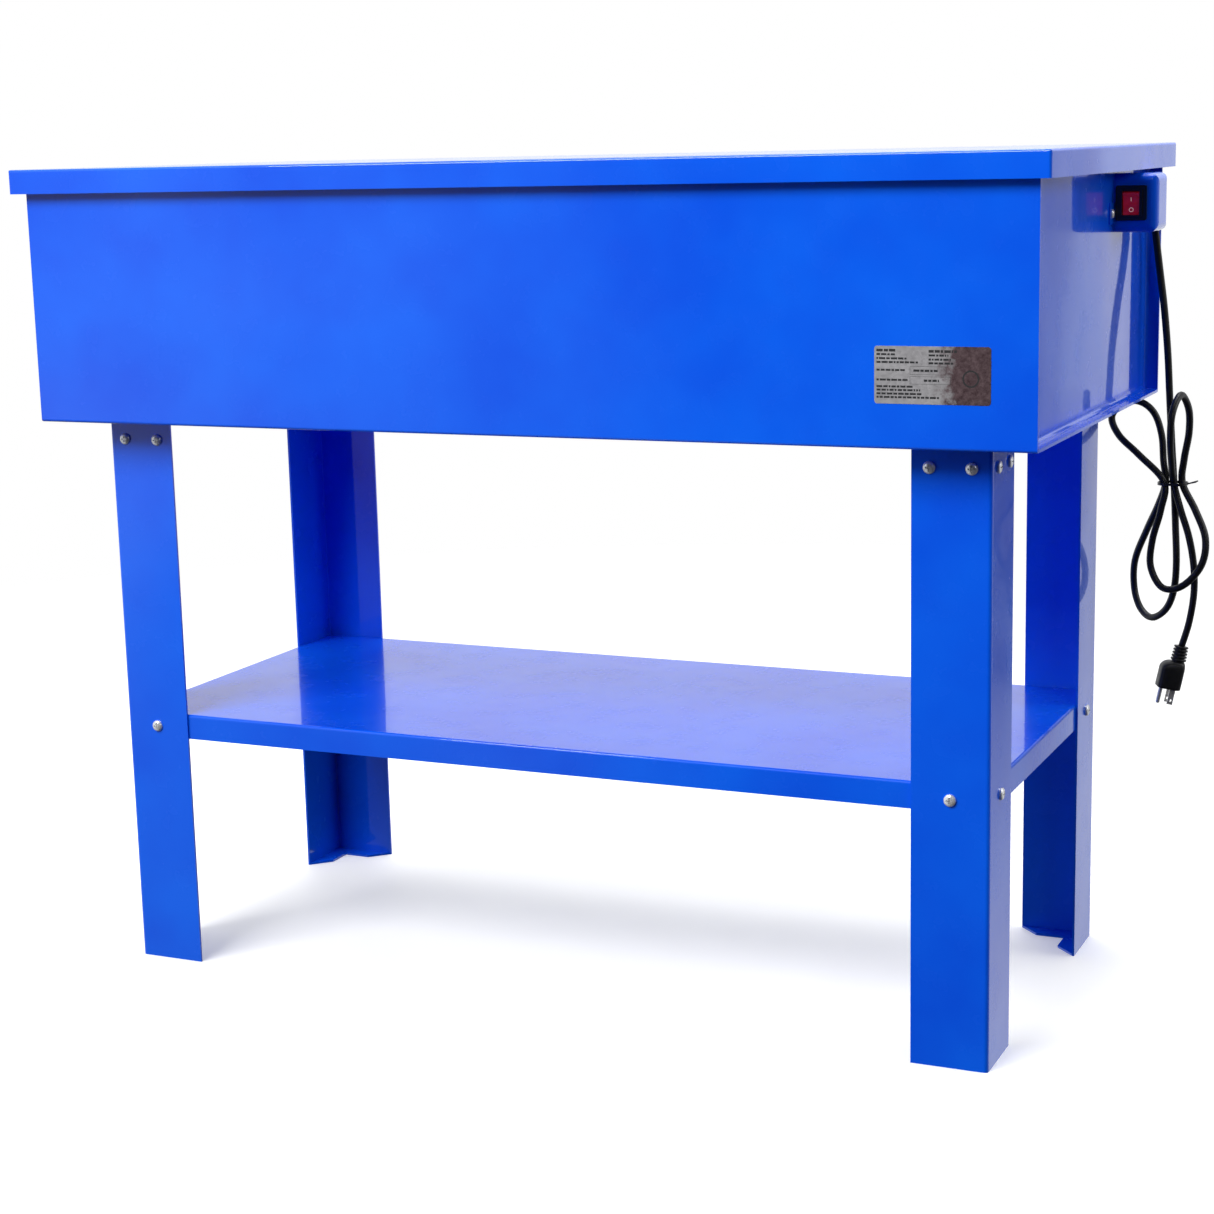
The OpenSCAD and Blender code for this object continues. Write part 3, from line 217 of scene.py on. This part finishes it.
class Shader(Tree):
    """A material with one Principled shader, whose patterns lie on the piece's Object coordinates."""

    def __init__(self, name, **sockets):
        self.material = bpy.data.materials.get(name) or bpy.data.materials.new(name)
        self.material.use_nodes = True
        super().__init__(self.material.node_tree)
        self.shader = self.new("BsdfPrincipled")
        self.link(self.shader.outputs[0], self.new("OutputMaterial").inputs[0])
        for socket, value in sockets.items():
            self.shader.inputs[socket.replace("_", " ")].default_value = value
        self.place = self.new("TexCoord").outputs["Object"]

    def mapped(self, location=(0, 0, 0), scale=(1, 1, 1)):
        node = self.new("Mapping")
        node.inputs["Location"].default_value = location
        node.inputs["Scale"].default_value = scale
        self.link(self.place, node.inputs["Vector"])
        return node.outputs[0]

    def noise(self, size, detail=2.0, roughness=0.5, vector=None):
        """Noise whose blotches are about size metres across."""
        node = self.new("TexNoise")
        node.inputs["Scale"].default_value = 1.0 / size
        node.inputs["Detail"].default_value = detail
        node.inputs["Roughness"].default_value = roughness
        self.link(vector or self.place, node.inputs["Vector"])
        return node.outputs[0]

    def length(self, vector):
        node = self.new("VectorMath")
        node.operation = "LENGTH"
        self.link(vector, node.inputs[0])
        return node.outputs["Value"]

    def mix(self, factor, a, b):
        node = self.new("Mix")
        node.data_type = "RGBA"
        self.link(factor, node.inputs["Factor"])
        for socket, colour in (("A", a), ("B", b)):
            target = [s for s in node.inputs if s.name == socket and s.type == "RGBA"][0]
            if isinstance(colour, bpy.types.NodeSocket):
                self.link(colour, target)
            else:
                target.default_value = (*colour, 1.0)
        return [s for s in node.outputs if s.type == "RGBA"][0]

    def bump(self, height, distance, below=None):
        """Ripples distance metres high, on top of the ripples below."""
        node = self.new("Bump")
        node.inputs["Distance"].default_value = distance
        node.inputs["Strength"].default_value = 1.0
        self.link(height, node.inputs["Height"])
        if below is not None:
            self.link(below, node.inputs["Normal"])
        return node.outputs[0]

    def set(self, socket, value):
        self.link(value, self.shader.inputs[socket])


def powder_coat():
    """Gloss blue powder coat: fine orange peel over slightly uneven sheet, and a coat of varying depth whose
    cloudy light and dark patches also stand in for painted reflection and painted shade.
    """
    look = bpy.context.scene.washer_finish
    s = Shader("blue_powder_coat", Coat_Weight=0.72, Coat_Roughness=0.025, Coat_IOR=1.5, IOR=1.5,
               Specular_IOR_Level=0.1)
    # Cloudy mask between the two paint colours: partly coat depth, partly painted reflection and painted
    # shade.
    coat_depth_and_painted_sheen = s.spread(s.noise(0.16, 3.0), 0.0, 1.0)
    s.set("Base Color", s.mix(coat_depth_and_painted_sheen, look.paint, look.paint_thin_coat_and_painted_shade))
    s.set("Roughness", s.spread(s.noise(0.03, 4.0), 0.2, 0.3))
    sheet = s.bump(s.noise(0.28, 1.0), 0.0012)
    peel = s.bump(s.noise(look.peel, 1.0), 0.000007, sheet)
    s.set("Normal", peel)
    s.set("Coat Normal", peel)
    return s.material


def zinc_plate():
    """Bright zinc: bluish grey metal, a little cloudy, with rolling marks."""
    look = bpy.context.scene.washer_finish
    s = Shader("zinc_plate", Metallic=0.5, IOR=1.9)
    cloud = s.spread(s.noise(0.006, 3.0), 0.0, 1.0)
    s.set("Base Color", s.mix(cloud, look.zinc, tuple(0.8 * v for v in look.zinc)))
    s.set("Roughness", s.spread(s.noise(0.002, 2.0), 0.15, 0.28))
    s.set("Normal", s.bump(s.noise(0.0008, 2.0), 0.00002))
    return s.material


def rubber(name, low, high, grain):
    """Black rubber: matt, slightly dusty, with a fine moulded grain."""
    look = bpy.context.scene.washer_finish
    s = Shader(name, IOR=1.48, Specular_IOR_Level=0.35)
    dust = s.spread(s.noise(0.01, 4.0), 0.0, 1.0)
    s.set("Base Color", s.mix(dust, look.black, tuple(1.7 * v for v in look.black)))
    s.set("Roughness", s.spread(s.noise(grain * 4, 2.0), low, high))
    s.set("Normal", s.bump(s.noise(grain, 2.0), 0.00004))
    return s.material


def black_plastic():
    """Moulded black plastic with a spark-eroded texture."""
    look = bpy.context.scene.washer_finish
    s = Shader("black_plastic", IOR=1.5)
    worn = tuple(1.4 * v for v in look.black)
    s.set("Base Color", s.mix(s.spread(s.noise(0.02), 0.0, 1.0), look.black, worn))
    s.set("Roughness", s.spread(s.noise(0.003, 3.0), 0.28, 0.42))
    s.set("Normal", s.bump(s.noise(0.0005, 2.0), 0.00002))
    return s.material


def rocker_red():
    """Red translucent rocker: glossy, deeper in colour where it is thick, and given a faint emission in its
    own red as painted light, since it sits in shade.
    """
    look = bpy.context.scene.washer_finish
    # Emission_Strength 0.16 is painted light: it brightens the rocker, which lies in shadow.
    s = Shader("rocker_red", IOR=1.5, Coat_Weight=0.4, Coat_Roughness=0.08, Emission_Strength=0.16)
    deep = s.spread(s.noise(0.008, 2.0), 0.0, 1.0)
    red = s.mix(deep, look.red, tuple(0.7 * v for v in look.red))
    s.set("Base Color", red)
    s.set("Emission Color", red)
    s.set("Roughness", s.spread(s.noise(0.004, 2.0), 0.16, 0.26))
    return s.material


def metal(name, bright, dull, low, high, stretch=(1, 1, 1), shine=1.0):
    """Bare metal of two tones, its fine grain stretched along the way it was brushed or turned."""
    s = Shader(name, Metallic=shine)
    s.set("Base Color", s.mix(s.spread(s.noise(0.015, 4.0), 0.0, 1.0), bright, dull))
    s.set("Roughness", s.spread(s.noise(0.003, 3.0, vector=s.mapped(scale=stretch)), low, high))
    s.set("Normal", s.bump(s.noise(0.0006, 1.0, vector=s.mapped(scale=stretch)), 0.00002))
    return s.material


def label_foil():
    """Satin foil: pale silver at the left, and mottled brown past an uneven edge on the right."""
    low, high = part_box("rating_label")
    s = Shader("label_foil", Metallic=0.55)
    split = s.new("SeparateXYZ")
    s.link(s.mapped(location=(-low[0], 0, 0)), split.inputs[0])
    ragged = s.maths("ADD", split.outputs[0], s.spread(s.noise(0.008, 4.0, 0.7), -0.011, 0.011))
    wide = high[0] - low[0]
    dark = s.spread(ragged, 0.0, 1.0, 0.54 * wide, 0.68 * wide)
    mottled = s.mix(s.spread(s.noise(0.0035, 4.0, 0.7), 0.0, 1.0),
                    (0.065, 0.035, 0.042), (0.17, 0.115, 0.125))
    silver = s.mix(s.spread(s.noise(0.03, 2.0), 0.0, 1.0), (0.52, 0.51, 0.53), (0.42, 0.41, 0.43))
    s.set("Base Color", s.mix(dark, silver, mottled))
    s.set("Roughness", s.spread(s.noise(0.004, 3.0), 0.3, 0.45))
    s.set("Normal", s.bump(s.noise(0.003, 3.0), 0.00012))
    return s.material


def flat_ink(name, colour, roughness, painted_glow=0.0):
    """Printing ink, slightly uneven in gloss; painted_glow is an emission in the ink's own colour, painted
    light for ink on a piece in shade.
    """
    s = Shader(name, Base_Color=(*colour, 1.0), Emission_Color=(*colour, 1.0), Emission_Strength=painted_glow)
    s.set("Roughness", s.spread(s.noise(0.001, 2.0), roughness, roughness + 0.15))
    return s.material


def coat_nodes(names, material):
    """Puts one material on every slot of the named CAD nodes."""
    for name in names:
        slots = NODES[name].data.materials
        if len(slots) == 0:
            slots.append(material)
        for i in range(len(slots)):
            slots[i] = material


# ---------------------------------------------------------------- operators

CAMERA_PLACE = (1.0802, -2.3931, 0.9183)
CAMERA_TURN = (78.8617, 1.3372, 24.2411)
FLOOR_REACH = 9.0
# Each softbox's place, the point it faces, and its width and height, in metres
SOFTBOXES = {
    "key": ((-1.1, -3.1, 3.1), (0.0, 0.0, 0.55), (2.6, 1.8)),
    "top": ((0.2, 0.6, 3.0), (0.0, 0.1, 0.3), (2.4, 1.8)),
    "side": ((3.2, 0.5, 1.9), (0.4, 0.0, 0.5), (1.6, 1.6)),
    "fill": ((2.3, -2.3, 1.7), (0.6, 0.1, 0.7), (0.7, 0.7)),
}


class WASHER_OT_stage(Operator):
    """Camera, floor, sky and softboxes"""
    bl_idname = "washer.stage"
    bl_label = "Set Up Studio"

    def execute(self, context):
        studio = context.scene.washer_studio
        scene = context.scene
        camera = bpy.data.objects.new("camera", bpy.data.cameras.new("camera"))
        camera.data.lens = studio.lens
        camera.data.sensor_width = 36.0
        camera.data.clip_end = 60.0
        turn = Euler([math.radians(angle) for angle in CAMERA_TURN])
        camera.matrix_world = Matrix.Translation(CAMERA_PLACE) @ turn.to_matrix().to_4x4()
        scene.collection.objects.link(camera)
        scene.camera = camera
        scene.view_settings.view_transform = "Standard"

        corners = FLOOR_REACH * np.array([(-1, -1, 0), (1, -1, 0), (1, 1, 0), (-1, 1, 0)])
        floor = mesh_object("floor", corners, [(0, 1, 2, 3)])
        s = Shader("pale_floor", Emission_Strength=studio.lift)
        s.set("Base Color", s.mix(s.noise(0.6), (0.88, 0.88, 0.87), (0.92, 0.92, 0.91)))
        s.set("Roughness", s.spread(s.noise(0.05), 0.5, 0.65))
        s.set("Alpha", s.spread(s.length(s.place), 1.0, 0.0, 1.2, 2.8))
        floor.data.materials.append(s.material)
        floor.visible_glossy = False
        floor.visible_diffuse = False

        self.sky(scene)
        for name, (place, aim, size) in SOFTBOXES.items():
            self.softbox(name + "_softbox", place, aim, size, getattr(studio, name))
        return {"FINISHED"}

    def sky(self, scene):
        """Even white for the eye. In reflections it brightens from the front right to the back left, as
        (y - 0.45 x) to the power 1.6, is dim straight down, has a dim gap to the right of the white backdrop,
        and a cloudy pale card at the front left."""
        world = scene.world or bpy.data.worlds.new("studio")
        scene.world = world
        world.use_nodes = True
        t = Tree(world.node_tree)
        split = t.new("SeparateXYZ")
        t.link(t.new("TexCoord").outputs["Generated"], split.inputs[0])
        x, y, z = split.outputs
        strength = t.spread(t.maths("SUBTRACT", y, t.maths("MULTIPLY", x, 0.45)), 0.0, 1.0, -0.96, 0.4)
        strength = t.maths("MULTIPLY", t.maths("POWER", strength, 1.6), t.spread(z, 0.12, 1.0, -0.85, -0.25))

        aside = t.maths("DIVIDE", x, t.maths("MAXIMUM", y, 0.01))
        gap = t.maths("MULTIPLY", t.spread(aside, 0.0, 1.0, 0.215, 0.258),
                      t.spread(z, 0.0, 1.0, -0.36, -0.22))
        gap = t.maths("MULTIPLY", gap, t.spread(aside, 0.92, 0.0, 0.32, 0.55))

        cloud = t.new("TexNoise")
        cloud.inputs["Scale"].default_value = 5.0
        card = t.spread(t.maths("DIVIDE", x, t.maths("MINIMUM", y, -0.01)), 0.0, 1.0, 0.40, 0.80)
        card = t.maths("MULTIPLY", card, t.spread(cloud.outputs[0], 0.15, 1.2, 0.4, 0.62))
        card = t.maths("MULTIPLY", card, t.spread(y, 1.0, 0.0, -0.6, -0.35))

        lit, seen, pick = t.new("Background"), t.new("Background"), t.new("MixShader")
        lit.inputs["Color"].default_value = (0.97, 0.985, 1.0, 1.0)
        strength = t.maths("MULTIPLY", strength, t.maths("SUBTRACT", 1.0, gap))
        t.link(t.maths("ADD", strength, card), lit.inputs["Strength"])
        seen.inputs["Color"].default_value = (1.0, 1.0, 1.0, 1.0)
        seen.inputs["Strength"].default_value = 1.0
        t.link(t.new("LightPath").outputs["Is Camera Ray"], pick.inputs[0])
        t.link(lit.outputs[0], pick.inputs[1])
        t.link(seen.outputs[0], pick.inputs[2])
        t.link(pick.outputs[0], t.new("OutputWorld").inputs[0])

    def softbox(self, name, place, aim, size, power):
        data = bpy.data.lights.new(name, "AREA")
        data.shape, data.size, data.size_y, data.energy = "RECTANGLE", size[0], size[1], power
        light = bpy.data.objects.new(name, data)
        direction = np.array(aim) - np.array(place)
        light.location = place
        light.rotation_euler = (math.acos(-direction[2] / np.linalg.norm(direction)), 0.0,
                                math.atan2(direction[1], direction[0]) - math.pi / 2)
        bpy.context.scene.collection.objects.link(light)


class WASHER_OT_cord(Operator):
    """Power cord along its route, from the strain relief to the plug"""
    bl_idname = "washer.cord"
    bl_label = "Lay Power Cord"

    def execute(self, context):
        sizes = context.scene.washer_cord
        points = np.vstack([EXIT, CORNER + ROUTE]) / 1000.0
        ends = np.vstack([points[:1], points, points[-1:]])
        reach = (ends[2:] - ends[:-2]) / 6.0
        curve = bpy.data.curves.new("power_cord_jacket", "CURVE")
        curve.dimensions = "3D"
        curve.bevel_depth = sizes.diameter / 2
        curve.bevel_resolution = 3
        curve.resolution_u = 8
        curve.use_fill_caps = True
        spline = curve.splines.new("BEZIER")
        spline.bezier_points.add(len(points) - 1)
        parts = {"co": points, "handle_left": points - reach, "handle_right": points + reach}
        for part, places in parts.items():
            spline.bezier_points.foreach_set(part, places.ravel())
        cord = bpy.data.objects.new("power_cord_jacket", curve)
        context.scene.collection.objects.link(cord)
        finish_piece(cord, "frame", "cord_rubber", rubber("cord_jacket", 0.3, 0.42, 0.0012), "power_cord")
        return {"FINISHED"}


class WASHER_OT_plug(Operator):
    """Moulded plug: ribbed boot growing into a body with one round shoulder"""
    bl_idname = "washer.plug"
    bl_label = "Mould Plug"

    def execute(self, context):
        """Ring at distance s: a superellipse between the left and right edges at s, ribbed along the boot.
        The left edge leaves the boot on a quarter ellipse, and the right edge stays nearly straight."""
        sizes = context.scene.washer_cord
        boot, body, edge = 0.018, 0.032, 0.0016
        s = np.concatenate([np.linspace(0, boot, 46), boot + body * np.linspace(0, 1, 40)[1:] ** 1.3])
        inner = np.clip((s - boot) / 0.010, 0, 1)
        shoulder = np.sqrt(1 - (1 - inner) ** 2)
        along = np.clip(s / boot, 0, 1)
        rib = np.where((s < boot * 0.98) & (np.floor(s / boot * 10) % 2 == 0), 0.0018, 0.0)
        neck = 0.0062 + 0.0010 * along + rib
        right = neck + 0.0016 * shoulder
        left = -neck - (sizes.plug_width - 0.0160) * shoulder
        half_deep = neck + (sizes.plug_depth / 2 - 0.0072) * shoulder
        end = np.clip((s - (boot + body - edge)) / edge, 0, 1)
        trim = edge * (1 - np.sqrt(1 - end ** 2))
        power = 2.0 / (2.0 + 2.2 * shoulder)
        angle = np.linspace(0, 2 * np.pi, 48, endpoint=False)
        c, n = np.cos(angle), np.sin(angle)
        round_x = np.sign(c) * np.abs(c) ** power[:, None]
        round_y = np.sign(n) * np.abs(n) ** power[:, None]
        x = ((left + right) / 2)[:, None] + ((right - left) / 2 - trim)[:, None] * round_x
        y = (half_deep - trim)[:, None] * round_y
        rings = np.stack([x, y, np.repeat(-s[:, None], len(angle), 1)], 2)
        turn = np.array(Matrix.Rotation(PLUG_TURN, 3, "Z") @ Matrix.Rotation(PLUG_TILT, 3, "Y"))
        rings = rings @ turn.T + (CORNER + ROUTE[-1]) / 1000.0
        plug = lofted("plug_moulding", rings[::-1])
        finish_piece(plug, "frame", "cord_rubber", rubber("plug_rubber", 0.34, 0.46, 0.0009), "plug_body")
        return {"FINISHED"}


class WASHER_OT_sheet_metal(Operator):
    """Powder coat on every painted sheet part"""
    bl_idname = "washer.sheet_metal"
    bl_label = "Coat Sheet Metal"

    def execute(self, context):
        coat_nodes(PAINTED, powder_coat())
        return {"FINISHED"}


class WASHER_OT_fittings(Operator):
    """Plating, rubber, brass and stainless on the screws, hinges, stay, pump, spout, basket and drain"""
    bl_idname = "washer.fittings"
    bl_label = "Finish Fittings"

    def execute(self, context):
        coat_nodes(PLATED, zinc_plate())
        coat_nodes(SOFT_RUBBER, rubber("moulded_rubber", 0.45, 0.62, 0.0015))
        coat_nodes(["pump_lead"], rubber("lead_jacket", 0.32, 0.45, 0.0012))
        coat_nodes(BLACK_MOULDINGS, black_plastic())
        coat_nodes(BRASS_PARTS, metal("turned_brass", (0.78, 0.58, 0.26), (0.62, 0.44, 0.19), 0.2, 0.36))
        coat_nodes(STAINLESS_PARTS, metal("stainless_steel", (0.63, 0.63, 0.64), (0.52, 0.52, 0.53),
                                          0.2, 0.34, stretch=(1, 14, 14)))
        coat_nodes(PRONGS, metal("nickel_prongs", (0.84, 0.83, 0.81), (0.72, 0.71, 0.69),
                                 0.26, 0.4, shine=0.7))
        return {"FINISHED"}


class WASHER_OT_switch(Operator):
    """Red rocker with its on and off marks"""
    bl_idname = "washer.switch"
    bl_label = "Mark Switch"

    def execute(self, context):
        """The bar is a stadium and the ring the band between two ellipses, both laid on the rocker's two
        sloping faces: y = -4 - |z| / 8.6 in millimetres about its pin, then turned with the rocker."""
        height = context.scene.washer_print.mark * 1000
        coat_nodes(["switch_rocker"], rocker_red())
        steps = 40
        angle = np.linspace(0, 2 * np.pi, steps, endpoint=False)
        flat = np.stack([np.cos(angle), np.sin(angle)], 1)
        bar = flat * 0.26 + np.stack([0 * angle, np.sign(flat[:, 1]) * (height / 2 - 0.26)], 1) + [0, 4.4]
        outer = flat * [height * 0.56, height * 0.52] + [0, -6.4]
        inner = outer - flat * 0.42
        x, z = np.vstack([bar, outer, inner]).T
        points = np.stack([x, -4.06 - np.abs(z) / 8.6, z], 1)
        faces = [list(range(steps))[::-1]]
        faces += (grid_faces(2, steps)[:, [0, 3, 2, 1]] + steps).tolist()
        low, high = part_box("switch_bezel")
        pin = np.array([(low[0] + high[0]) * 500, high[1] * 1000 + 3.0, (low[2] + high[2]) * 500])
        turned = points @ np.array(Matrix.Rotation(math.radians(8), 3, "X")).T + pin
        marks = mesh_object("rocker_marks", turned / 1000, faces, False)
        # The marks' ink is given an emission of 0.5: painted light, as on the rocker.
        finish_piece(marks, "rocker", "red_plastic", flat_ink("mark_ink", (0.86, 0.62, 0.60), 0.35, 0.5))
        return {"FINISHED"}


class WASHER_OT_label(Operator):
    """Rating label with generic lines, two boxes and a plain ring in place of its print"""
    bl_idname = "washer.label"
    bl_label = "Print Label"

    def execute(self, context):
        """Lines run from one share of the width to another at a share of the height, cut into words."""
        coat_nodes(["rating_label"], label_foil())
        look = context.scene.washer_print
        low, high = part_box("rating_label")
        wide, tall, front = high[0] - low[0], high[2] - low[2], low[1] - 0.00003
        words = np.random.RandomState(look.seed)
        quads, space = [], 0.008
        lines = [(0.02, 0.19, 0.075, 1.3), (0.47, 0.72, 0.085, 1.3), (0.02, 0.18, 0.145, 1),
                 (0.47, 0.64, 0.155, 1), (0.02, 0.28, 0.215, 1), (0.47, 0.66, 0.225, 1),
                 (0.02, 0.38, 0.28, 1), (0.47, 0.68, 0.29, 1), (0.02, 0.27, 0.415, 1),
                 (0.34, 0.56, 0.42, 1.1), (0.02, 0.29, 0.585, 1), (0.43, 0.56, 0.59, 1.1),
                 (0.02, 0.34, 0.70, 1), (0.02, 0.40, 0.76, 1), (0.02, 0.41, 0.825, 1),
                 (0.02, 0.56, 0.885, 1)]
        for start, stop, down, bold in lines:
            x, h = start, look.line * bold / tall
            while x < stop - space:
                word = min(stop - x, 0.012 + 0.045 * words.rand())
                quads.append((x, x + word, down - h / 2, down + h / 2))
                x += word + space
        for left, right, top, bottom in ((0.31, 0.62, 0.345, 0.49), (0.31, 0.66, 0.52, 0.655)):
            t, u = 0.0022, 0.0022 * wide / tall
            quads += [(left, right, top, top + u), (left, right, bottom - u, bottom),
                      (left, left + t, top + u, bottom - u), (right - t, right, top + u, bottom - u)]
        q = np.array(quads)
        corners = np.stack([q[:, [0, 1, 1, 0]], q[:, [3, 3, 2, 2]]], 2).reshape(-1, 2)
        steps, centre = 48, [0.83, 0.55]
        angle = np.linspace(0, 2 * np.pi, steps, endpoint=False)
        ring = np.stack([np.cos(angle), np.sin(angle) * wide / tall], 1)
        flat = np.vstack([corners, ring * 0.072 + centre, ring * 0.058 + centre])
        points = np.stack([low[0] + flat[:, 0] * wide, np.full(len(flat), front),
                           high[2] - flat[:, 1] * tall], 1)
        n = len(corners)
        faces = np.arange(n).reshape(-1, 4).tolist()
        faces += (grid_faces(2, steps) + n).tolist()
        ink = mesh_object("label_print", points, faces, False)
        finish_piece(ink, "frame", "label_foil", flat_ink("label_ink", (0.015, 0.015, 0.018), 0.4))
        return {"FINISHED"}


class WASHER_PT_panel(Panel):
    """Lists the washer's pieces and their settings"""
    bl_idname = "WASHER_PT_panel"
    bl_label = "Parts Washer"
    bl_space_type = "VIEW_3D"
    bl_region_type = "UI"
    bl_category = "Washer"

    def draw(self, context):
        for group in ("washer_cord", "washer_finish", "washer_print", "washer_studio"):
            box = self.layout.box()
            values = getattr(context.scene, group)
            for name in values.__annotations__:
                box.prop(values, name)
        for name in STEPS:
            self.layout.operator("washer." + name)


STEPS = ("stage", "plug", "cord", "sheet_metal", "fittings", "switch", "label")
GROUPS = {"washer_cord": WasherCord, "washer_finish": WasherFinish, "washer_print": WasherPrint,
          "washer_studio": WasherStudio}
CLASSES = (*GROUPS.values(), WASHER_OT_stage, WASHER_OT_cord, WASHER_OT_plug, WASHER_OT_sheet_metal,
           WASHER_OT_fittings, WASHER_OT_switch, WASHER_OT_label, WASHER_PT_panel)


def register():
    for cls in CLASSES:
        bpy.utils.register_class(cls)
    for name, group in GROUPS.items():
        setattr(bpy.types.Scene, name, PointerProperty(type=group))


def unregister():
    for name in GROUPS:
        delattr(bpy.types.Scene, name)
    for cls in reversed(CLASSES):
        bpy.utils.unregister_class(cls)


def main():
    register()
    for name in STEPS:
        getattr(bpy.ops.washer, name)()


if __name__ == "__main__":
    main()
